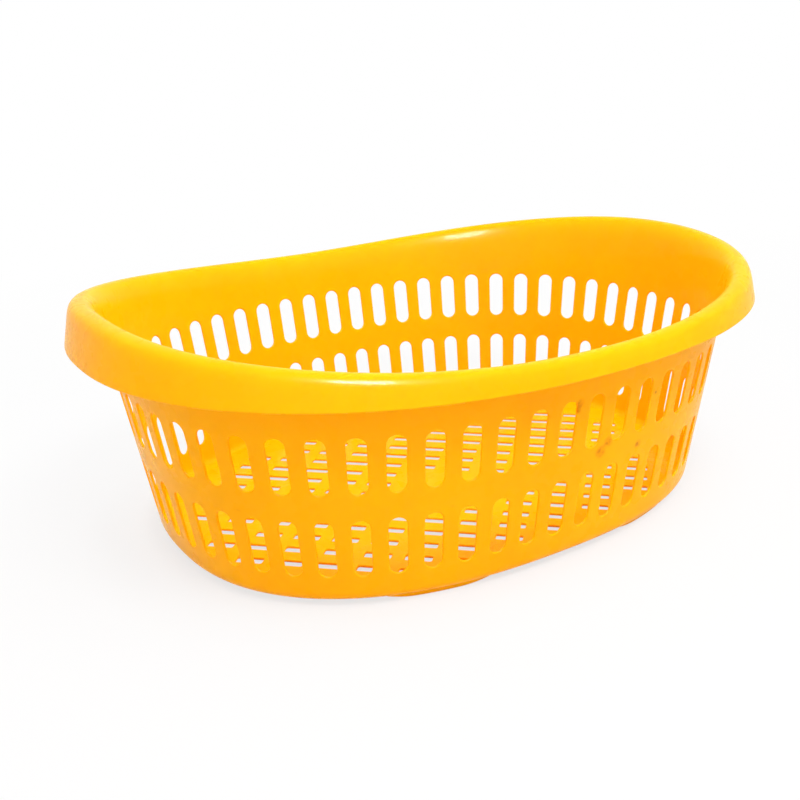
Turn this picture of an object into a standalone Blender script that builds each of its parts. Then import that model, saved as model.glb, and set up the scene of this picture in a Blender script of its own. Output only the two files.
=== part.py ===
"""One-piece moulded plastic basket: an oval tub with two rows of upright slots, a diagonal
grid floor and a rolled rim that rises at both ends.  Metres, +Z up, X along the basket.
The origin is on the ground, under the middle of the basket."""
import math

import bmesh
import bpy
import numpy as np
from mathutils import Matrix, Vector

# --- Driving dimensions -------------------------------------------------------------------
CLEARANCE = 0.0003            # seam left where two moulded zones meet
WALL = 0.0022                 # thickness of the moulded sheet

# Plan of the wall: a rounded oval, on the middle of the sheet at the foot of the upper slots
HALF_LENGTH = 0.2702
HALF_WIDTH = 0.2098
PLAN_EXPONENT = 2.39          # 2 is an ellipse, more is squarer
DRAFT = math.radians(8.8)     # the wall leans outwards going up

# Heights, each from the one before
FOOT_HEIGHT = 0.0042          # ground to the underside of the floor
SLOT_START = 0.0240           # underside of the floor to the lower slots
LOWER_SLOT_HEIGHT = 0.0498
WAIST = 0.0223                # plain band between the two rows of slots
UPPER_SLOT_HEIGHT = 0.0472
RIM_LOW = 0.0423              # upper slots' tops to the top of the rim, halfway along a side
RIM_RISE = 0.0284             # how much higher the rim is at the two ends

# Slots
SLOT_COUNT = 56               # in each row
SLOT_WIDTH = 0.0146
SLOT_END_SIDES = 5            # flats on each round end of a slot

# Rolled rim, with its own reach and depth at the ends and halfway along a side
GRIP_REACH = 0.0242           # middle of the wall to the middle of the skirt, at the ends
SIDE_REACH = 0.0220           # the same, halfway along a side
ROLL_RISE = 0.0205            # height over which the wall curves out into the roll
ROLL_DROP = 0.0155            # height over which the roll curves down into the skirt
GRIP_DEPTH = 0.0385           # top of the rim to the skirt's lower edge, at the ends
SIDE_DEPTH = 0.0172           # the same, halfway along a side
GRIP_EASE = 1.2               # 1 eases evenly from side to end, more keeps the change to the ends
SKIRT_FLARE = math.radians(12)
ROLL_STEPS = 3                # flats on each half of the roll
GRIP_PITCHES = 12             # how many slot pitches each end grip covers

# Floor
EDGE_RADIUS = 0.0080          # round edge between wall and floor
EDGE_STEPS = 3
LAND_WIDTH = 0.0100           # plain border between the round edge and the grid
GRID_MARGIN = 0.0030          # least plain strip between a hole and the border
HOLE_LENGTH = 0.0232
HOLE_WIDTH = 0.0090
HOLE_PITCH_ALONG = 0.0345
HOLE_PITCH_ACROSS = 0.0230
GRID_SHIFT = (0.0046, -0.0044)    # the grid's own middle, along and across its holes
GRID_TURN = math.radians(-45)
PAD_RADIUS = 0.0300           # holes whose middles would fall on the moulding pad are left out

# Feet: four low bars under the border, two on each long side
FOOT_WIDTH = 0.0080
FOOT_INSET = 0.0072           # outer side of a foot, in from the lower end of the wall
FOOT_PITCHES = 3.4            # length of a foot, in slot pitches
FOOT_PLACE = 4.2              # middle of a foot from the middle of the side, in slot pitches
FOOT_SIDES = 3                # straight lengths that each foot is made of

PLASTIC_YELLOW = (0.95, 0.43, 0.005, 1.0)
PLASTIC_ROUGHNESS = 0.38

# --- Derived levels -----------------------------------------------------------------------
FLOOR_MIDDLE = FOOT_HEIGHT + WALL / 2
WALL_START = FLOOR_MIDDLE + EDGE_RADIUS
LOWER_SLOT_BOTTOM = FOOT_HEIGHT + SLOT_START
LOWER_SLOT_TOP = LOWER_SLOT_BOTTOM + LOWER_SLOT_HEIGHT
UPPER_SLOT_BOTTOM = LOWER_SLOT_TOP + WAIST
UPPER_SLOT_TOP = UPPER_SLOT_BOTTOM + UPPER_SLOT_HEIGHT
WAIST_MIDDLE = (LOWER_SLOT_TOP + UPPER_SLOT_BOTTOM) / 2
PLAN_LEVEL = UPPER_SLOT_BOTTOM
RIM_TOP_LOW = UPPER_SLOT_TOP + RIM_LOW

CUT_DEPTH = 4 * WALL          # how deep the cutters are, so that they pass right through
FINE_STEPS = 4000             # points that the plan is traced with


def trace_plan():
    """Points, outward normals and running length of the plan, traced finely."""
    angle = np.linspace(0, 2 * np.pi, FINE_STEPS + 1)
    power = 2 / PLAN_EXPONENT
    cosine, sine = np.cos(angle), np.sin(angle)
    x = HALF_LENGTH * np.sign(cosine) * np.abs(cosine) ** power
    y = HALF_WIDTH * np.sign(sine) * np.abs(sine) ** power
    length = np.concatenate([[0], np.cumsum(np.hypot(np.diff(x), np.diff(y)))])
    return x, y, length


PLAN_X, PLAN_Y, PLAN_RUN = trace_plan()
SLOT_PITCH = PLAN_RUN[-1] / SLOT_COUNT


def plan_at(pitches):
    """Point on the plan, a number of slot pitches round from the +X end, anticlockwise."""
    run = (pitches * SLOT_PITCH) % PLAN_RUN[-1]
    return Vector((float(np.interp(run, PLAN_RUN, PLAN_X)), float(np.interp(run, PLAN_RUN, PLAN_Y)), 0))


def frame_at(pitches):
    """Point, outward normal and rise: 1 at the ends, -1 at the middles of the sides."""
    reach = 0.5               # the normal is taken over one slot pitch
    along = (plan_at(pitches + reach) - plan_at(pitches - reach)).normalized()
    point = plan_at(pitches)
    turn = math.atan2(point.y / HALF_WIDTH, point.x / HALF_LENGTH)
    return point, Vector((along.y, -along.x, 0)), math.cos(2 * turn)


def wall_offset(height):
    """How far the leaning wall stands outside the plan at a height."""
    return math.tan(DRAFT) * (height - PLAN_LEVEL)


def rim_top(rise):
    return RIM_TOP_LOW + RIM_RISE * (1 + rise) / 2


def between(side_value, grip_value, rise):
    """A rim size at some rise, from its values at the sides and at the ends."""
    return side_value + (grip_value - side_value) * ((1 + rise) / 2) ** GRIP_EASE


def rim_reach(rise):
    return between(SIDE_REACH, GRIP_REACH, rise)


def skirt_depth(rise):
    return between(SIDE_DEPTH, GRIP_DEPTH, rise)


def place(pitches, section):
    """World point of a section (a function of the rise that gives offset and height)."""
    point, outward, rise = frame_at(pitches)
    offset, height = section(rise)
    return point + outward * offset + Vector((0, 0, height))


# --- Building helpers ---------------------------------------------------------------------
def new_collection(name):
    collection = bpy.data.collections.new(name)
    bpy.context.scene.collection.children.link(collection)
    return collection


def plastic(name):
    material = bpy.data.materials.new(name)
    material.use_nodes = True
    shader = material.node_tree.nodes["Principled BSDF"]
    shader.inputs["Base Color"].default_value = PLASTIC_YELLOW
    shader.inputs["Roughness"].default_value = PLASTIC_ROUGHNESS
    return material


def add_object(name, mesh, collection):
    thing = bpy.data.objects.new(name, mesh)
    collection.objects.link(thing)
    return thing


def finish_mesh(name, build, collection, sharp_angle=40):
    mesh = bpy.data.meshes.new(name)
    bmesh.ops.recalc_face_normals(build, faces=build.faces)
    build.to_mesh(mesh)
    build.free()
    mesh.shade_smooth()
    mesh.set_sharp_from_angle(angle=math.radians(sharp_angle))
    thing = add_object(name, mesh, collection)
    mesh.materials.append(plastic(name + "_plastic"))
    return thing


def thicken(thing, thickness=WALL):
    solidify = thing.modifiers.new("Sheet", "SOLIDIFY")
    solidify.thickness = thickness
    solidify.offset = 0
    solidify.use_even_offset = True
    return solidify


def sheet(name, stations, sections, collection, closed=True):
    """Moulded sheet through the sections at each station, given its thickness by Solidify."""
    build = bmesh.new()
    first = [build.verts.new(place(station, sections[0])) for station in stations]
    pairs = list(zip(first, first[1:] + first[:1])) if closed else list(zip(first, first[1:]))
    edges = [build.edges.new(pair) for pair in pairs]
    for section in sections[1:]:
        grown = bmesh.ops.extrude_edge_only(build, edges=edges)["geom"]
        ring = [item for item in grown if isinstance(item, bmesh.types.BMVert)]
        edges = [item for item in grown if isinstance(item, bmesh.types.BMEdge)]
        for vert, station in zip(ring, stations):
            vert.co = place(station, section)
    thing = finish_mesh(name, build, collection)
    thicken(thing)
    return thing


def cut(thing, cutter):
    boolean = thing.modifiers.new("Cut_" + cutter.name, "BOOLEAN")
    boolean.operation = "DIFFERENCE"
    boolean.solver = "EXACT"
    boolean.object = cutter


def hide_cutter(thing):
    thing.hide_render = True
    thing.display_type = "WIRE"


# --- The pieces ---------------------------------------------------------------------------
def slot_cutter(name, bottom, height, collection):
    """One round-ended bar through the wall for every slot of a row."""
    build = bmesh.new()
    radius = SLOT_WIDTH / 2
    middle = bottom + height / 2
    for index in range(SLOT_COUNT):
        point, outward, _ = frame_at(index + 0.5)
        centre = point + outward * wall_offset(middle) + Vector((0, 0, middle))
        across = Vector((-outward.y, outward.x, 0))
        up = outward * math.sin(DRAFT) + Vector((0, 0, math.cos(DRAFT)))
        rim = []
        for end in (1, -1):
            for step in range(SLOT_END_SIDES + 1):
                angle = math.pi * step / SLOT_END_SIDES
                side = across * (end * radius * math.cos(angle))
                rise_to = up * (end * (height / 2 - radius + radius * math.sin(angle)))
                rim.append(build.verts.new(centre + side + rise_to))
        face = build.faces.new(rim)
        through = across.cross(up).normalized() * CUT_DEPTH
        bmesh.ops.translate(build, vec=-through / 2, verts=rim)
        grown = bmesh.ops.extrude_face_region(build, geom=[face])["geom"]
        far_side = [item for item in grown if isinstance(item, bmesh.types.BMVert)]
        bmesh.ops.translate(build, vec=through, verts=far_side)
    cutter = finish_mesh(name, build, collection)
    hide_cutter(cutter)
    return cutter


def straight(height):
    """Section of the leaning wall at a level height."""
    return lambda rise: (wall_offset(height), height)


def spring(rise):
    """Offset and height where the wall starts to curve out into the roll."""
    height = rim_top(rise) - WALL / 2 - ROLL_RISE
    return wall_offset(height), height


def below_rim(rise):
    """Section of the wall's upper edge, just under the roll."""
    height = spring(rise)[1] - CLEARANCE
    return wall_offset(height), height


def roll_section(step):
    """Section of the roll: steps below 0 climb from the wall, steps above 0 fall to the skirt."""
    angle = math.pi / 2 * step / ROLL_STEPS
    height = ROLL_RISE if step < 0 else ROLL_DROP

    def section(rise):
        offset = spring(rise)[0] + rim_reach(rise) / 2 * (1 + math.sin(angle))
        return offset, rim_top(rise) - WALL / 2 - height * (1 - math.cos(angle))
    return section


def skirt_edge(rise):
    """Section of the skirt's lower edge; the skirt flares out a little."""
    straight_drop = skirt_depth(rise) - WALL / 2 - ROLL_DROP
    offset = spring(rise)[0] + rim_reach(rise) + straight_drop * math.tan(SKIRT_FLARE)
    return offset, rim_top(rise) - skirt_depth(rise)


def edge_section(step):
    """Section of the round lower edge, from the floor (step 0) up to the wall."""
    angle = math.pi / 2 * step / EDGE_STEPS
    centre = wall_offset(WALL_START) - EDGE_RADIUS
    offset = centre + EDGE_RADIUS * math.sin(angle)
    height = WALL_START - EDGE_RADIUS * math.cos(angle)
    return lambda rise: (offset, height)


def border_section(rise):
    """Section of the inner side of the plain border round the grid."""
    return wall_offset(WALL_START) - EDGE_RADIUS - LAND_WIDTH, FLOOR_MIDDLE


def make_wall(collection, cutters):
    ring = range(SLOT_COUNT)
    lower = sheet("lower_wall", ring,
                  [straight(WALL_START + CLEARANCE), straight(WAIST_MIDDLE)], collection)
    upper = sheet("upper_wall", ring,
                  [straight(WAIST_MIDDLE + CLEARANCE), below_rim], collection)
    cut(lower, slot_cutter("lower_slots", LOWER_SLOT_BOTTOM, LOWER_SLOT_HEIGHT, cutters))
    cut(upper, slot_cutter("upper_slots", UPPER_SLOT_BOTTOM, UPPER_SLOT_HEIGHT, cutters))


def stretch(start, end):
    """Stations a slot pitch apart, with half a seam taken off each end."""
    count = int(round(end - start))
    stations = [start + (end - start) * step / count for step in range(count + 1)]
    stations[0] += CLEARANCE / 2 / SLOT_PITCH
    stations[-1] -= CLEARANCE / 2 / SLOT_PITCH
    return stations


def make_rim(collection):
    """Two deep grips at the ends and two shallow lengths along the sides."""
    sections = [roll_section(step) for step in range(-ROLL_STEPS, ROLL_STEPS + 1)] + [skirt_edge]
    quarter = SLOT_COUNT / 4
    half_grip = GRIP_PITCHES / 2
    names = ("grip_right", "rim_back", "grip_left", "rim_front")
    for index, name in enumerate(names):
        middle = index * quarter
        half = half_grip if index % 2 == 0 else quarter - half_grip
        sheet(name, stretch(middle - half, middle + half), sections, collection, closed=False)


def make_floor_edge(collection):
    """The round edge and its border, in eight lengths that start at the +X end."""
    sections = [border_section] + [edge_section(step) for step in range(EDGE_STEPS + 1)]
    places = ("right_back", "back_right", "back_left", "left_back",
              "left_front", "front_left", "front_right", "right_front")
    length = SLOT_COUNT / len(places)
    for index, name in enumerate(places):
        stations = stretch(index * length, (index + 1) * length)
        sheet("floor_edge_" + name, stations, sections, collection, closed=False)


def floor_outline():
    """Plan of the grid floor, just inside the border."""
    def section(rise):
        offset, height = border_section(rise)
        return offset - CLEARANCE, height
    return [place(index, section) for index in range(SLOT_COUNT)]


def inside(point, outline, margin):
    """Whether a point lies inside the outline, at least a margin from its sides."""
    for start, end in zip(outline, outline[1:] + outline[:1]):
        along = (end - start).normalized()
        if along.x * (point.y - start.y) - along.y * (point.x - start.x) < margin:
            return False
    return True


def hole_places(outline):
    """Middles of the floor's holes: a grid on the diagonal, kept off the border and off the
    pad, which is half a row from the grid's middle."""
    turn = Matrix.Rotation(GRID_TURN, 3, "Z")
    pad = Vector((0, -HOLE_PITCH_ACROSS / 2, 0))
    reach = int(2 * HALF_LENGTH / HOLE_PITCH_ACROSS)
    corners = [Vector((HOLE_LENGTH / 2 * a, HOLE_WIDTH / 2 * b, 0)) for a in (-1, 1) for b in (-1, 1)]
    places = []
    for column in range(-reach, reach):
        for row in range(-reach, reach):
            flat = Vector(((column + 0.5) * HOLE_PITCH_ALONG, row * HOLE_PITCH_ACROSS, 0))
            if (flat - pad).length < PAD_RADIUS:
                continue
            flat += Vector((*GRID_SHIFT, 0))
            if all(inside(turn @ (flat + corner), outline, GRID_MARGIN) for corner in corners):
                places.append(turn @ flat)
    return places


def make_floor(collection, cutters):
    outline = floor_outline()
    build = bmesh.new()
    build.faces.new([build.verts.new(point) for point in outline])
    floor = finish_mesh("floor_grid", build, collection)
    thicken(floor)
    build = bmesh.new()
    for spot in hole_places(outline):
        size = Matrix.Diagonal((HOLE_LENGTH, HOLE_WIDTH, CUT_DEPTH, 1))
        at = Matrix.Translation(spot + Vector((0, 0, FLOOR_MIDDLE)))
        bmesh.ops.create_cube(build, size=1, matrix=at @ Matrix.Rotation(GRID_TURN, 4, "Z") @ size)
    holes = finish_mesh("floor_holes", build, cutters)
    hide_cutter(holes)
    cut(floor, holes)


def foot_side(inset, height):
    """Section of a foot's long side, at half the foot's height."""
    offset = wall_offset(WALL_START) - inset
    return lambda rise: (offset, height / 2)


def make_feet(collection):
    """Low bars under the border; each follows the curve of the side that it is on."""
    height = FOOT_HEIGHT - CLEARANCE
    sides = [foot_side(FOOT_INSET + FOOT_WIDTH, height), foot_side(FOOT_INSET, height)]
    for side, middle in (("back", SLOT_COUNT / 4), ("front", 3 * SLOT_COUNT / 4)):
        for end in (-1, 1):
            hand = "right" if (end < 0) == (side == "back") else "left"
            start = middle + end * FOOT_PLACE - FOOT_PITCHES / 2
            stations = [start + FOOT_PITCHES * step / FOOT_SIDES for step in range(FOOT_SIDES + 1)]
            name = "foot_%s_%s" % (side, hand)
            foot = sheet(name, stations, sides, collection, closed=False)
            foot.modifiers["Sheet"].thickness = height


def build_basket():
    for thing in list(bpy.data.objects):
        bpy.data.objects.remove(thing)
    parts = new_collection("basket")
    cutters = new_collection("cutters")
    make_floor(parts, cutters)
    make_floor_edge(parts)
    make_wall(parts, cutters)
    make_rim(parts)
    make_feet(parts)


build_basket()
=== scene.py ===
"""Looks of the oval slotted basket: one yellow moulding with two rows of upright slots, a
diagonal grid floor, a rolled rim that rises into a grip at each end, and four low feet."""
import math

import bmesh
import bpy
import numpy as np
from mathutils import Matrix, Vector


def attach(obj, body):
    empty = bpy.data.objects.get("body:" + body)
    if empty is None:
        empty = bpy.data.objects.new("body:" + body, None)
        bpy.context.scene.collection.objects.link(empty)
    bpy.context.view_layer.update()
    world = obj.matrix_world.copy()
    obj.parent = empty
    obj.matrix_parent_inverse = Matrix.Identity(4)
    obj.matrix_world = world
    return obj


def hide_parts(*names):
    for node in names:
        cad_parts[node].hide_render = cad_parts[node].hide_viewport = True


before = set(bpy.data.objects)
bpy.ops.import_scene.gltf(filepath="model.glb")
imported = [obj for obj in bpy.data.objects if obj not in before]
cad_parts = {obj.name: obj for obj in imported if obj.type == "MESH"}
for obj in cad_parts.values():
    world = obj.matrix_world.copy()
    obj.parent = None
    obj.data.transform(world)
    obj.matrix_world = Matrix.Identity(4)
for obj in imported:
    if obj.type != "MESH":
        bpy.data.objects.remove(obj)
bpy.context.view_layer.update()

# --- The photographer's stand ----------------------------------------------------------------
# A camera a little above the rim, in front and to the left, and a pale floor. Soft lamps light the
# basket in a bright room, unseen in its gloss, one small one above its middle for the inside. One
# more lamp high in front only draws the streaks.
CAMERA_PLACE = Vector((-0.4882, -0.7560, 0.4087))
CAMERA_TURN = math.radians(33.683)
CAMERA_TILT = math.radians(-19.782)
CAMERA_ROLL = math.radians(-1.610)
CAMERA_LENS = 45.24
CAMERA_SHIFT = (-0.0545, -0.0019)

ahead = Vector((math.sin(CAMERA_TURN) * math.cos(CAMERA_TILT),
                math.cos(CAMERA_TURN) * math.cos(CAMERA_TILT), math.sin(CAMERA_TILT)))
sideways = Vector((math.cos(CAMERA_TURN), -math.sin(CAMERA_TURN), 0))
upward = sideways.cross(ahead)
right = sideways * math.cos(CAMERA_ROLL) + upward * math.sin(CAMERA_ROLL)
above = upward * math.cos(CAMERA_ROLL) - sideways * math.sin(CAMERA_ROLL)
lens = bpy.data.cameras.new("camera")
lens.lens = CAMERA_LENS
lens.sensor_width = 36
lens.shift_x, lens.shift_y = CAMERA_SHIFT
camera = bpy.data.objects.new("camera", lens)
axes = Matrix((right, above, -ahead)).transposed().to_4x4()
camera.matrix_world = Matrix.Translation(CAMERA_PLACE) @ axes
bpy.context.scene.collection.objects.link(camera)
bpy.context.scene.camera = camera
bpy.context.scene.view_settings.view_transform = "Standard"

LAMP_AIM = Vector((0, 0, 0.12))


def soft_lamp(name, toward, distance, size, power, streak=False):
    """A softbox that looks at the middle of the basket, and lights it or only shows in its gloss."""
    light = bpy.data.lights.new(name, "AREA")
    light.shape = "RECTANGLE"
    light.size, light.size_y = size
    light.energy = power
    lamp = bpy.data.objects.new(name, light)
    place = LAMP_AIM + Vector(toward).normalized() * distance
    turned = (place - LAMP_AIM).to_track_quat("Z", "Y").to_matrix().to_4x4()
    lamp.matrix_world = Matrix.Translation(place) @ turned
    lamp.visible_glossy, lamp.visible_diffuse, lamp.visible_camera = streak, not streak, False
    bpy.context.scene.collection.objects.link(lamp)


soft_lamp("high_lamp", (-0.05, -0.55, 0.80), 1.9, (0.8, 0.5), 19)
soft_lamp("top_lamp", (0.10, -0.35, 0.90), 2.2, (1.3, 1.3), 17)
soft_lamp("inside_lamp", (-0.02, 0.03, 0.42), 0.40, (0.40, 0.26), 0.4)
soft_lamp("front_lamp", (0.05, -1.00, 0.25), 2.6, (2.2, 1.5), 9)
soft_lamp("left_lamp", (-0.90, -0.40, 0.10), 2.4, (1.4, 0.7), 7)
soft_lamp("right_lamp", (1.00, 0.25, 0.25), 2.4, (1.4, 0.7), 9)
soft_lamp("back_lamp", (-0.20, 1.00, 0.30), 2.4, (1.8, 0.9), 12)
soft_lamp("streak_lamp", (-0.23, -0.65, 0.70), 1.9, (0.60, 0.75), 210, streak=True)


def looked_at(nodes, links):
    """1 for what the camera, a reflection or a clear part shows, 0 for what only gives light."""
    path = nodes.new("ShaderNodeLightPath")
    total = path.outputs["Is Camera Ray"]
    for ray in ("Is Glossy Ray", "Is Transmission Ray"):
        either = nodes.new("ShaderNodeMath")
        either.operation = "MAXIMUM"
        links.new(total, either.inputs[0])
        links.new(path.outputs[ray], either.inputs[1])
        total = either.outputs["Value"]
    return total


ROOM_STRENGTH = 0.78
room = bpy.data.worlds.new("room")
room.use_nodes = True
nodes, links = room.node_tree.nodes, room.node_tree.links
nodes.clear()
sky = nodes.new("ShaderNodeBackground")
sky.inputs["Color"].default_value = (1, 1, 1, 1)
sky.inputs["Strength"].default_value = ROOM_STRENGTH
backdrop = nodes.new("ShaderNodeBackground")
backdrop.inputs["Color"].default_value = (1, 1, 1, 1)
pick = nodes.new("ShaderNodeMixShader")
links.new(looked_at(nodes, links), pick.inputs["Fac"])
links.new(sky.outputs["Background"], pick.inputs[1])
links.new(backdrop.outputs["Background"], pick.inputs[2])
links.new(pick.outputs["Shader"], nodes.new("ShaderNodeOutputWorld").inputs["Surface"])
bpy.context.scene.world = room

FLOOR_RADIUS = 40.0
FLOOR_COLOUR = (0.62, 0.62, 0.62, 1.0)
# How far the camera sees it as plain white, by the distance from the basket's middle: less in
# the shade under the basket, all of it far away.
FLOOR_WHITE = ((0.0, 0.70), (0.24, 0.70), (0.34, 0.86), (0.60, 0.90), (1.60, 1.0))
FLOOR_OVAL = (1.0, 1.25, 1.0)           # that distance grows faster across the basket than along it
build = bmesh.new()
bmesh.ops.create_circle(build, cap_ends=True, segments=64, radius=FLOOR_RADIUS)
mesh = bpy.data.meshes.new("ground")
build.to_mesh(mesh)
build.free()
ground = bpy.data.objects.new("ground", mesh)
bpy.context.scene.collection.objects.link(ground)
paper = bpy.data.materials.new("pale_paper")
paper.use_nodes = True
nodes, links = paper.node_tree.nodes, paper.node_tree.links
nodes.clear()
matt = nodes.new("ShaderNodeBsdfDiffuse")
matt.inputs["Color"].default_value = FLOOR_COLOUR
white = nodes.new("ShaderNodeEmission")
white.inputs["Strength"].default_value = 1.0
oval = nodes.new("ShaderNodeVectorMath")
oval.operation = "MULTIPLY"
oval.inputs[1].default_value = FLOOR_OVAL
links.new(nodes.new("ShaderNodeTexCoord").outputs["Object"], oval.inputs[0])
span = nodes.new("ShaderNodeVectorMath")
span.operation = "LENGTH"
links.new(oval.outputs["Vector"], span.inputs[0])
scaled = nodes.new("ShaderNodeMath")
scaled.operation = "DIVIDE"
scaled.inputs[1].default_value = FLOOR_WHITE[-1][0]
links.new(span.outputs["Value"], scaled.inputs[0])
fade = nodes.new("ShaderNodeValToRGB")
while len(fade.color_ramp.elements) < len(FLOOR_WHITE):
    fade.color_ramp.elements.new(0.5)
for stop, (distance, share) in zip(fade.color_ramp.elements, FLOOR_WHITE):
    stop.position = distance / FLOOR_WHITE[-1][0]
    stop.color = (share, share, share, 1.0)
links.new(scaled.outputs["Value"], fade.inputs["Fac"])
whiteness = nodes.new("ShaderNodeMath")
whiteness.operation = "MULTIPLY"
links.new(fade.outputs["Color"], whiteness.inputs[1])
links.new(looked_at(nodes, links), whiteness.inputs[0])
pick = nodes.new("ShaderNodeMixShader")
links.new(whiteness.outputs["Value"], pick.inputs["Fac"])
links.new(matt.outputs["BSDF"], pick.inputs[1])
links.new(white.outputs["Emission"], pick.inputs[2])
links.new(pick.outputs["Shader"], nodes.new("ShaderNodeOutputMaterial").inputs["Surface"])
mesh.materials.append(paper)

# --- Lower wall ------------------------------------------------------------------------------
# The lower half of the leaning wall, with the first row of 56 upright slots. Injection-moulded
# polypropylene, 2.2 mm thick; the slot edges are rounded by the mould.
SHEET = 0.0022
HALF_LENGTH, HALF_WIDTH, PLAN_POWER = 0.2702, 0.2098, 2.39
PLAN_LEVEL = 0.1003           # height at which the plan is measured
PLAN_POINTS = 8001            # fine enough to measure lengths along the plan
LEAN = math.tan(math.radians(8.8))
SLOTS = 56
SLOT_WIDTH = 0.0146
SLOT_EDGE = 0.00105           # radius of a slot's rounded edges
SLOT_LAND = 0.0012            # a line of the mesh runs this far outside the slot
LOWER_SLOT = (0.0282, 0.0780)
UPPER_SLOT = (0.1003, 0.1475)
WAIST = 0.08915               # where the two halves of the wall meet
WALL_START = 0.0133           # top of the lower edge's curve
EDGE_SEAM = 0.0165            # where the wall piece ends and the lower edge begins
RIM_SEAM = 0.1560             # where the wall piece ends and the rim begins
SHARP = math.radians(50)      # from this angle on an edge is shaded sharp
CUT_EDGE = math.radians(60)   # from this angle on an edge is a cut edge of the sheet

turn = np.linspace(0, 2 * np.pi, PLAN_POINTS)
plan_x = HALF_LENGTH * np.sign(np.cos(turn)) * np.abs(np.cos(turn)) ** (2 / PLAN_POWER)
plan_y = HALF_WIDTH * np.sign(np.sin(turn)) * np.abs(np.sin(turn)) ** (2 / PLAN_POWER)
plan_run = np.concatenate([[0], np.cumsum(np.hypot(np.diff(plan_x), np.diff(plan_y)))])
PITCH = plan_run[-1] / SLOTS


def plan_point(run):
    run = run % plan_run[-1]
    return Vector((float(np.interp(run, plan_run, plan_x)), float(np.interp(run, plan_run, plan_y)), 0))


def plan_frame(run):
    """Point of the plan, its outward direction and the rise: 1 at the ends, -1 at the sides."""
    point = plan_point(run)
    along = (plan_point(run + PITCH / 2) - plan_point(run - PITCH / 2)).normalized()
    spread = math.atan2(point.y / HALF_WIDTH, point.x / HALF_LENGTH)
    return point, Vector((along.y, -along.x, 0)), math.cos(2 * spread)


def lean_out(height):
    return LEAN * (height - PLAN_LEVEL)


def wall_section(height, rise):
    return lean_out(height), height


def wrap(build, section):
    """Bends a flat strip (x along the plan, y up the section, z through the sheet) round the
    basket. The section turns y and the rise into an offset from the plan and a height."""
    cache = {}

    def at(run, level):
        point, outward, rise = cache.setdefault(round(run, 7), plan_frame(run))
        offset, height = section(level, rise)
        return point + outward * offset + Vector((0, 0, height))

    step, lift = PITCH / 40, 1e-4       # small steps that give the surface's two directions
    for vert in build.verts:
        run, level, depth = vert.co
        along = at(run + step, level) - at(run - step, level)
        climb = at(run, level + lift) - at(run, level - lift)
        vert.co = at(run, level) + along.cross(climb).normalized() * depth


def finish(name, build, material):
    """Closes a piece's mesh, turns its faces outward and makes its object."""
    bmesh.ops.remove_doubles(build, verts=build.verts, dist=1e-5)
    bmesh.ops.recalc_face_normals(build, faces=build.faces)
    mesh = bpy.data.meshes.new(name)
    build.to_mesh(mesh)
    build.free()
    mesh.shade_smooth()
    mesh.set_sharp_from_angle(angle=SHARP)
    mesh.materials.append(material)
    piece = bpy.data.objects.new(name, mesh)
    bpy.context.scene.collection.objects.link(piece)
    return piece


def verts_of(geom):
    return [item for item in geom if isinstance(item, bmesh.types.BMVert)]


def edges_of(geom):
    return [item for item in geom if isinstance(item, bmesh.types.BMEdge)]


def soften(build, geom, radius, segments, affect="EDGES"):
    """Rounds edges, or the corners of a flat sheet."""
    bmesh.ops.bevel(build, geom=geom, offset=radius, segments=segments, profile=0.5, affect=affect,
                    material=-1)


YELLOWS = ((0.97, 0.374, 0.0008, 1.0), (0.98, 0.410, 0.001, 1.0))
SCUFF_COLOUR = (0.72, 0.26, 0.010, 1.0)
RUB_COLOUR = (0.58, 0.15, 0.001, 1.0)


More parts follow.
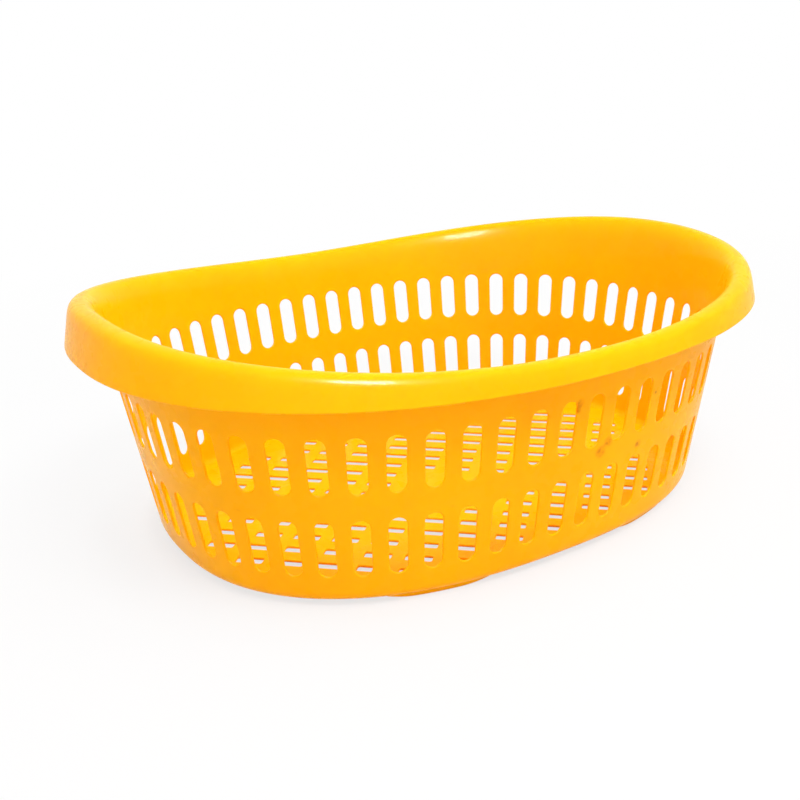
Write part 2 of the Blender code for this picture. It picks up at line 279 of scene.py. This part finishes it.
def moulded_plastic(name, marks=()):
    """Yellow polypropylene: a faint drift of colour, fine mould texture, soft gloss, scuffs, and
    rubbed marks, each with its place and radius."""
    material = bpy.data.materials.new(name)
    material.use_nodes = True
    nodes, links = material.node_tree.nodes, material.node_tree.links
    shader = nodes["Principled BSDF"]
    place = nodes.new("ShaderNodeTexCoord").outputs["Object"]

    def noise(scale, detail, stretch=None):
        texture = nodes.new("ShaderNodeTexNoise")
        texture.inputs["Scale"].default_value = scale
        texture.inputs["Detail"].default_value = detail
        source = place
        if stretch:
            mapping = nodes.new("ShaderNodeMapping")
            mapping.inputs["Scale"].default_value = stretch
            links.new(place, mapping.inputs["Vector"])
            source = mapping.outputs["Vector"]
        links.new(source, texture.inputs["Vector"])
        return texture.outputs["Fac"]

    def ramp(source, low, high, start, end):
        """Maps a range of the source to two values, held outside it."""
        node = nodes.new("ShaderNodeMapRange")
        node.inputs["From Min"].default_value = low
        node.inputs["From Max"].default_value = high
        node.inputs["To Min"].default_value = start
        node.inputs["To Max"].default_value = end
        links.new(source, node.inputs["Value"])
        return node.outputs["Result"]

    def blend(share, first, second):
        node = nodes.new("ShaderNodeMix")
        node.data_type = "RGBA"
        links.new(share, node.inputs["Factor"])
        for socket, colour in ((node.inputs["A"], first), (node.inputs["B"], second)):
            if isinstance(colour, tuple):
                socket.default_value = colour
            else:
                links.new(colour, socket)
        return node.outputs["Result"]

    drift = blend(ramp(noise(7.0, 2.0), 0.35, 0.65, 0.0, 1.0), *YELLOWS)
    scuffed = ramp(noise(60.0, 6.0, (1.0, 1.0, 3.0)), 0.70, 0.78, 0.0, 0.35)
    colour = blend(scuffed, drift, SCUFF_COLOUR)
    for spot, radius in marks:
        gap = nodes.new("ShaderNodeVectorMath")
        gap.operation = "DISTANCE"
        gap.inputs[1].default_value = spot
        links.new(place, gap.inputs[0])
        broken = nodes.new("ShaderNodeMath")
        broken.operation = "MULTIPLY"
        links.new(ramp(gap.outputs["Value"], radius * 0.3, radius, 1.0, 0.0), broken.inputs[0])
        links.new(ramp(noise(260.0, 4.0), 0.38, 0.62, 0.30, 0.90), broken.inputs[1])
        colour = blend(broken.outputs["Value"], colour, RUB_COLOUR)
    links.new(colour, shader.inputs["Base Color"])
    links.new(ramp(noise(45.0, 5.0), 0.30, 0.70, 0.24, 0.32), shader.inputs["Roughness"])
    bump = nodes.new("ShaderNodeBump")
    bump.inputs["Strength"].default_value = 0.10
    bump.inputs["Distance"].default_value = 0.0004
    links.new(noise(900.0, 3.0), bump.inputs["Height"])
    links.new(bump.outputs["Normal"], shader.inputs["Normal"])
    for socket, value in (("IOR", 1.49), ("Specular IOR Level", 0.03), ("Subsurface Weight", 0.5),
                          ("Subsurface Radius", (1.0, 0.8, 0.1)), ("Subsurface Scale", 0.0008),
                          ("Coat Weight", 0.06), ("Coat Roughness", 0.06)):
        shader.inputs[socket].default_value = value
    return material


RUBBED = (((-0.005, -0.217, 0.144), 0.0048), ((-0.006, -0.216, 0.139), 0.0042),
          ((0.032, -0.211, 0.101), 0.0062), ((0.025, -0.209, 0.094), 0.0066),
          ((0.070, -0.205, 0.088), 0.0050), ((0.083, -0.210, 0.132), 0.0022))
wall_plastic = moulded_plastic("wall_plastic", RUBBED)


def slot_strip(foot, head, slot):
    """One slot pitch of flat wall from foot to head with its slot, as a closed-edged sheet."""
    bottom, top = slot
    middle = (bottom + top) / 2
    build = bmesh.new()
    half = Matrix.Diagonal((SLOT_WIDTH / 2, (top - bottom) / 2, 1, 1))
    bmesh.ops.create_grid(build, x_segments=1, y_segments=1, size=1,
                          matrix=Matrix.Translation((0, middle, 0)) @ half)
    soften(build, build.verts[:], SLOT_WIDTH / 2 - 1e-6, 6, "VERTICES")
    bmesh.ops.remove_doubles(build, verts=build.verts, dist=1e-5)
    bmesh.ops.delete(build, geom=build.faces[:], context="FACES_ONLY")
    sides = [edge for edge in build.edges if edge.calc_length() > SLOT_WIDTH]
    bmesh.ops.subdivide_edges(build, edges=sides, cuts=3)
    slot_ring = build.edges[:]
    reach = (top - bottom) / 2 - SLOT_WIDTH / 2     # middle of the slot to the middle of an end

    def grow(edges, shape):
        grown = bmesh.ops.extrude_edge_only(build, edges=edges)["geom"]
        for vert in verts_of(grown):
            vert.co = shape(vert.co)
        return edges_of(grown)

    def land(spot):
        """The line round the slot, a little outside its edge."""
        core = Vector((0, middle + max(-reach, min(reach, spot.y - middle)), 0))
        return spot + (spot - core).normalized() * SLOT_LAND

    def outline(spot):
        """The outline of the cell, reached from the middle of the slot's nearer round end: at its
        side up to 45 degrees, and past that at its foot or head."""
        lift = abs(spot.y - middle) - reach
        edge = head if spot.y > middle else foot
        if lift <= 1e-6:
            return Vector((math.copysign(PITCH / 2, spot.x), spot.y, 0))
        angle = math.degrees(math.atan2(lift, abs(spot.x)))
        centre = middle + math.copysign(reach, spot.y - middle)
        if angle <= 45.5:
            climb = (edge - centre) * min(angle / 45, 1)
            return Vector((math.copysign(PITCH / 2, spot.x), centre + climb, 0))
        return Vector((math.copysign(PITCH / 2 * (90 - angle) / 45, spot.x), edge, 0))

    grow(grow(slot_ring, land), outline)
    thicken(build)
    rounded = [edge for edge in build.edges if len(edge.link_faces) == 2
               and edge.calc_face_angle(0) > CUT_EDGE
               and all(abs(vert.co.x) < SLOT_WIDTH / 2 + 1e-5 and bottom - 1e-5 < vert.co.y < top + 1e-5
                       for vert in edge.verts)]
    soften(build, rounded, SLOT_EDGE, 3)
    return build


def thicken(build):
    """Turns a flat sheet at z = 0 into one SHEET thick, without walls at the sides of a pitch."""
    grown = bmesh.ops.extrude_face_region(build, geom=build.faces[:])["geom"]
    bmesh.ops.translate(build, vec=(0, 0, SHEET), verts=verts_of(grown))
    bmesh.ops.translate(build, vec=(0, 0, -SHEET / 2), verts=build.verts)
    sides = [face for face in build.faces
             if all(abs(abs(vert.co.x) - PITCH / 2) < 1e-6 for vert in face.verts)]
    bmesh.ops.delete(build, geom=sides, context="FACES_ONLY")


def repeat(build, count, step):
    """Copies a strip along X, count pieces in all, and joins them where they meet."""
    once = build.verts[:] + build.edges[:] + build.faces[:]
    for index in range(1, count):
        copy = bmesh.ops.duplicate(build, geom=once)["geom"]
        bmesh.ops.translate(build, vec=(index * step, 0, 0), verts=verts_of(copy))
    bmesh.ops.translate(build, vec=(step / 2, 0, 0), verts=build.verts)
    bmesh.ops.remove_doubles(build, verts=build.verts, dist=1e-6)


build = slot_strip(EDGE_SEAM, WAIST, LOWER_SLOT)
repeat(build, SLOTS, PITCH)
wrap(build, wall_section)
lower_slots = finish("lower_slots", build, wall_plastic)
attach(lower_slots, "root")
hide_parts("lower_wall")

# --- Upper wall ------------------------------------------------------------------------------
# The upper half of the wall, with the second row of slots. The same moulding and sheet.
build = slot_strip(WAIST, RIM_SEAM, UPPER_SLOT)
repeat(build, SLOTS, PITCH)
wrap(build, wall_section)
upper_slots = finish("upper_slots", build, wall_plastic)
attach(upper_slots, "root")
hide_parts("upper_wall")

# --- Rolled rim ------------------------------------------------------------------------------
# The plain band over the slots, the roll and the skirt that hangs outside it. The rim is higher
# and its skirt deeper at the two ends, where the hands take it. Same sheet, curved in the mould.
RIM_TOP_LOW, RIM_RISE = 0.1898, 0.0284
SIDE_REACH, GRIP_REACH = 0.0219, 0.0241
ROLL_RISE, ROLL_DROP = 0.0205, 0.0140
SIDE_SKIRT, GRIP_SKIRT = 0.0172, 0.0385
GRIP_EASE = 1.2               # how firmly the grips' sizes keep to the ends
FLARE = math.tan(math.radians(12))
CURVE = 0.55                  # handle length that makes a Bezier arc near-round
SHOULDER = 0.75               # the same for the roll's outer side, which is squarer
BAND_STEPS, ROLL_STEPS, SKIRT_STEPS, LIP_STEPS = 3, 9, 4, 6
COLUMNS = 6                   # slices of the mesh in one slot pitch


def arc(share, start, start_handle, end_handle, end):
    """Point on a Bezier arc from its start to its end."""
    rest = 1 - share
    return (start * rest ** 3 + start_handle * 3 * rest ** 2 * share
            + end_handle * 3 * rest * share ** 2 + end * share ** 3)


def rim_section(level, rise):
    """Levels 0 to 1 climb the band, 1 to 2 the roll's inside, 2 to 3 its outside, 3 to 4 the
    skirt. Past 4 the level runs on in metres, for the lip."""
    crest = RIM_TOP_LOW + RIM_RISE * (1 + rise) / 2 - SHEET / 2
    grip = ((1 + rise) / 2) ** GRIP_EASE
    reach = SIDE_REACH + (GRIP_REACH - SIDE_REACH) * grip
    spring = Vector((lean_out(crest - ROLL_RISE), crest - ROLL_RISE))
    peak = Vector((spring.x + reach / 2, crest))
    turn_down = Vector((spring.x + reach, crest - ROLL_DROP))
    if level <= 1:
        height = RIM_SEAM + (spring.y - RIM_SEAM) * level
        return lean_out(height), height
    if level <= 2:
        return arc(level - 1, spring, spring + Vector((LEAN, 1)) * ROLL_RISE * CURVE,
                   peak - Vector((reach / 2 * CURVE, 0)), peak)
    if level <= 3:
        return arc(level - 2, peak, peak + Vector((reach / 2 * SHOULDER, 0)),
                   turn_down + Vector((-FLARE, 1)) * ROLL_DROP * SHOULDER, turn_down)
    depth = SIDE_SKIRT + (GRIP_SKIRT - SIDE_SKIRT) * grip
    drop = (depth - SHEET - ROLL_DROP) * min(level - 3, 1) + max(level - 4, 0)
    return turn_down.x + drop * FLARE, turn_down.y - drop


def profile_strip(profile):
    """One slot pitch of a closed profile; its points give the level and the depth."""
    build = bmesh.new()
    ring = [build.verts.new((-PITCH / 2, level, depth)) for level, depth in profile]
    edges = [build.edges.new(pair) for pair in zip(ring, ring[1:] + ring[:1])]
    for _ in range(COLUMNS):
        grown = bmesh.ops.extrude_edge_only(build, edges=edges)["geom"]
        bmesh.ops.translate(build, vec=(PITCH / COLUMNS, 0, 0), verts=verts_of(grown))
        edges = [edge for edge in edges_of(grown) if edge.is_boundary
                 and abs(edge.verts[0].co.x - edge.verts[1].co.x) < 1e-6]
    return build


def steps(start, end, count):
    return [start + (end - start) * index / count for index in range(count + 1)]


levels = (steps(0, 1, BAND_STEPS) + steps(1, 2, ROLL_STEPS)[1:] + steps(2, 3, ROLL_STEPS)[1:]
          + steps(3, 4, SKIRT_STEPS)[1:])
lip = [(4 + SHEET / 2 * math.sin(angle), SHEET / 2 * math.cos(angle))
       for angle in steps(0, math.pi, LIP_STEPS)]
build = profile_strip([(level, SHEET / 2) for level in levels] + lip[1:-1]
                      + [(level, -SHEET / 2) for level in reversed(levels)])
repeat(build, SLOTS, PITCH)
wrap(build, rim_section)
rim = finish("rolled_rim", build, wall_plastic)
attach(rim, "root")
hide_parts("rim_front", "rim_back", "grip_left", "grip_right")

# --- Round lower edge ------------------------------------------------------------------------
# The curve between the wall and the floor, with the plain border that frames the grid.
FLOOR_LOW = 0.0042            # underside of the floor
FLOOR_MIDDLE = FLOOR_LOW + SHEET / 2
EDGE_RADIUS = 0.0080
BORDER = 0.0100
BORDER_STEPS, CURVE_STEPS = 2, 7


def edge_section(level, rise):
    """Levels 0 to 1 cross the border, 1 to 2 go round the edge, 2 to 3 climb the wall's foot."""
    flat_end = Vector((lean_out(WALL_START) - EDGE_RADIUS, FLOOR_MIDDLE))
    wall_foot = Vector((lean_out(WALL_START), WALL_START))
    if level <= 1:
        return flat_end.x - BORDER * (1 - level), FLOOR_MIDDLE
    if level <= 2:
        return arc(level - 1, flat_end, flat_end + Vector((EDGE_RADIUS * CURVE, 0)),
                   wall_foot - Vector((LEAN, 1)) * EDGE_RADIUS * CURVE, wall_foot)
    height = WALL_START + (EDGE_SEAM - WALL_START) * (level - 2)
    return lean_out(height), height


levels = steps(0, 1, BORDER_STEPS) + steps(1, 2, CURVE_STEPS)[1:] + [3]
build = profile_strip([(level, SHEET / 2) for level in levels]
                      + [(level, -SHEET / 2) for level in reversed(levels)])
repeat(build, SLOTS, PITCH)
wrap(build, edge_section)
lower_edge = finish("round_lower_edge", build, wall_plastic)
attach(lower_edge, "root")
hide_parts("floor_edge_right_back", "floor_edge_back_right", "floor_edge_back_left",
            "floor_edge_left_back", "floor_edge_left_front", "floor_edge_front_left",
            "floor_edge_front_right", "floor_edge_right_front")

# --- Grid floor ------------------------------------------------------------------------------
# A flat floor of diagonal slats with oblong holes, left plain at the moulding pad near the
# middle. The same sheet, open between the slats so that water and air go through.
HOLE = (0.0232, 0.0090)
HOLE_PITCH = (0.0345, 0.0230)
HOLE_NEAR = HOLE[0] * 0.6     # an edge this near to a hole's middle belongs to the hole
HOLE_CORNER = 0.0016          # radius of a hole's corners, seen from above
HOLE_EDGE = 0.0005            # radius of its rounded edges
HOLE_LAND = 0.0010            # a line of the mesh runs this far outside the hole
GRID_TURN = Matrix.Rotation(math.radians(-45), 4, "Z")
GRID_SHIFT = Vector((0.0046, -0.0044, 0))
GRID_MARGIN = 0.0030          # least gap between a hole and the border
PAD_RADIUS = 0.0300           # holes whose middles are nearer than this to the pad's are left out

border_line = lean_out(WALL_START) - EDGE_RADIUS - BORDER
floor_ring = []
for index in range(SLOTS * COLUMNS):
    point, outward, rise = plan_frame(index * PITCH / COLUMNS)
    floor_ring.append(point + outward * border_line)


def on_floor(spot):
    """Whether a spot of the plan lies inside the border, by a margin."""
    return all((end - start).normalized().cross(spot - start).z > GRID_MARGIN
               for start, end in zip(floor_ring[::COLUMNS], floor_ring[COLUMNS::COLUMNS] + floor_ring[:1]))


hole_spots = []
count = int(2 * HALF_LENGTH / HOLE_PITCH[1])
for column in range(-count, count):
    for row in range(-count, count):
        flat = Vector(((column + 0.5) * HOLE_PITCH[0], row * HOLE_PITCH[1], 0))
        on_pad = (flat + Vector((0, HOLE_PITCH[1] / 2, 0))).length < PAD_RADIUS
        flat += GRID_SHIFT
        corners = [GRID_TURN @ (flat + Vector((HOLE[0] / 2 * a, HOLE[1] / 2 * b, 0)))
                   for a in (-1, 1) for b in (-1, 1)]
        if not on_pad and all(on_floor(corner) for corner in corners):
            hole_spots.append(GRID_TURN @ flat)

build = bmesh.new()
for spot in hole_spots:
    size = Matrix.Diagonal((HOLE[0], HOLE[1], 1, 1))
    cell = bmesh.ops.create_grid(build, x_segments=1, y_segments=1, size=0.5,
                                 matrix=Matrix.Translation(spot) @ GRID_TURN @ size)["verts"]
    soften(build, cell, HOLE_CORNER, 3, "VERTICES")
hole_rings = build.edges[:]
bmesh.ops.delete(build, geom=build.faces[:], context="FACES_ONLY")
land_rings = bmesh.ops.extrude_edge_only(build, edges=hole_rings)["geom"]
for vert in verts_of(land_rings):
    spot = min(hole_spots, key=lambda place: (place - vert.co).length_squared)
    flat = GRID_TURN.inverted() @ (vert.co - spot)
    flat.x *= 1 + 2 * HOLE_LAND / HOLE[0]
    flat.y *= 1 + 2 * HOLE_LAND / HOLE[1]
    vert.co = spot + GRID_TURN @ flat
outer = [build.verts.new(point) for point in floor_ring]
border = [build.edges.new(pair) for pair in zip(outer, outer[1:] + outer[:1])]
holes = set(hole_rings)
around = [edge for edge in build.edges if edge.is_boundary and edge not in holes]
bmesh.ops.triangle_fill(build, use_beauty=True, use_dissolve=False, edges=around + border,
                        normal=(0, 0, 1))
bmesh.ops.recalc_face_normals(build, faces=build.faces)
lifted = bmesh.ops.extrude_face_region(build, geom=build.faces[:])["geom"]
bmesh.ops.translate(build, vec=(0, 0, SHEET), verts=verts_of(lifted))
bmesh.ops.translate(build, vec=(0, 0, FLOOR_LOW), verts=build.verts)
rims = [edge for edge in build.edges if edge.calc_face_angle(0) > CUT_EDGE
        and abs(edge.verts[0].co.z - edge.verts[1].co.z) < 1e-6
        and min((edge.verts[0].co - spot).xy.length for spot in hole_spots) < HOLE_NEAR]
soften(build, rims, HOLE_EDGE, 2)
floor_plastic = moulded_plastic("floor_plastic")
grid_floor = finish("grid_floor", build, floor_plastic)
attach(grid_floor, "root")
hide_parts("floor_grid")

# --- Feet ------------------------------------------------------------------------------------
# Four low bars under the border, two along each side, that keep the grid off the ground. Their
# ends run out thin, and their outer edges are well rounded.
FOOT_HEIGHT = 0.0042
FOOT_WIDTH = 0.0080
FOOT_INSET = 0.0072           # outer side of a foot from the wall's foot, inward
FOOT_LENGTH = 3.4             # in slot pitches
FOOT_PLACE = 4.2              # middle of a foot from the middle of its side, in slot pitches
FOOT_ROUND = 0.0030           # radius of the outer edge
FOOT_CORNER = 0.0035          # radius of the corners, seen from above
FOOT_CLEAR = 0.0001           # gap to the border above and to the ground below
FOOT_SLICES = 20
THIN_FROM = 0.4               # share of its half length from which a foot thins out
THIN_SHARE = 0.75             # share of its height that is gone at the very end


def foot_section(level, rise):
    return lean_out(WALL_START) - FOOT_INSET - FOOT_WIDTH / 2, level


for number, (side, end, node) in enumerate(((14, -1, "foot_back_right"), (14, 1, "foot_back_left"),
                                            (42, -1, "foot_front_left"), (42, 1, "foot_front_right"))):
    build = bmesh.new()
    shape = Matrix.Diagonal((FOOT_LENGTH * PITCH, FOOT_HEIGHT - 2 * FOOT_CLEAR, FOOT_WIDTH, 1))
    bmesh.ops.create_cube(build, size=1, matrix=Matrix.Translation((0, FOOT_HEIGHT / 2, 0)) @ shape)
    corners = [edge for edge in build.edges if abs(edge.verts[0].co.x - edge.verts[1].co.x) < 1e-9
               and abs(edge.verts[0].co.y - edge.verts[1].co.y) > 1e-4]
    soften(build, corners, FOOT_CORNER, 4)
    outer = [edge for edge in build.edges if all(
        vert.co.y < FOOT_HEIGHT / 2 and vert.co.z > FOOT_WIDTH / 2 - 1e-5 for vert in edge.verts)]
    soften(build, outer, FOOT_ROUND, 5)
    for index in range(1, FOOT_SLICES):
        cut = FOOT_LENGTH * PITCH * (index / FOOT_SLICES - 0.5)
        bmesh.ops.bisect_plane(build, geom=build.verts[:] + build.edges[:] + build.faces[:],
                               plane_co=(cut, 0, 0), plane_no=(1, 0, 0))
    for vert in build.verts:
        away = abs(vert.co.x) / (FOOT_LENGTH * PITCH / 2)
        thin = THIN_SHARE * max(0, (away - THIN_FROM) / (1 - THIN_FROM)) ** 2
        vert.co.y += (FOOT_HEIGHT - vert.co.y) * thin
    bmesh.ops.translate(build, vec=((side + end * FOOT_PLACE) * PITCH, 0, 0), verts=build.verts)
    wrap(build, foot_section)
    foot = finish("foot_bar_%d" % (number + 1), build, floor_plastic)
    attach(foot, "root")
    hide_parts(node)
